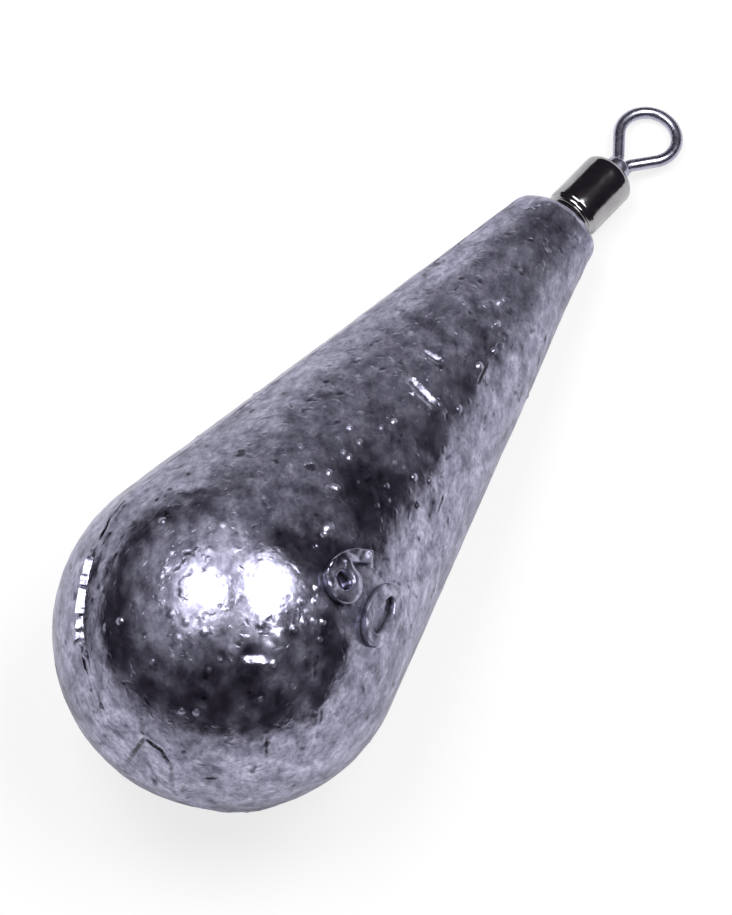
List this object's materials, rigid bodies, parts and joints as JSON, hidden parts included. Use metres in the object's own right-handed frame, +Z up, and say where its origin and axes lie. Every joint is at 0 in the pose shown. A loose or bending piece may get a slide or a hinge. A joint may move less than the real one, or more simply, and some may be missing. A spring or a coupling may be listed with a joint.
{
  "type": "swivel fishing sinker",
  "caption": "Teardrop lead fishing sinker cast round a small barrel swivel; the wire eye that takes the line turns freely in the barrel.",
  "frame": {"origin": "on the ground at the middle of the footprint of the sinker, which lies on its flank", "axes": "+X along the ground from the bulb towards the line eye, +Z up, +Y to the left of the sinker seen from above with the eye ahead"},
  "size_m": [0.0486, 0.0182, 0.0182],
  "materials": {
    "cast_lead": "bright cast lead, dulled by handling",
    "plated_barrel": "dark nickel plate",
    "bright_wire": "bright drawn wire"
  },
  "bodies": {
    "sinker": {"lead_body": "cast_lead", "swivel_barrel": "plated_barrel", "anchor_eye": "bright_wire"},
    "eye": {"line_eye": "bright_wire"}
  },
  "joints": [
    {"name": "eye_swivel", "type": "hinge", "parent": "sinker", "child": "eye", "pos_m": [0.0225, -0.00095, 0.00073], "axis": [0.9723, -0.0906, -0.2157], "continuous": true}
  ]
}
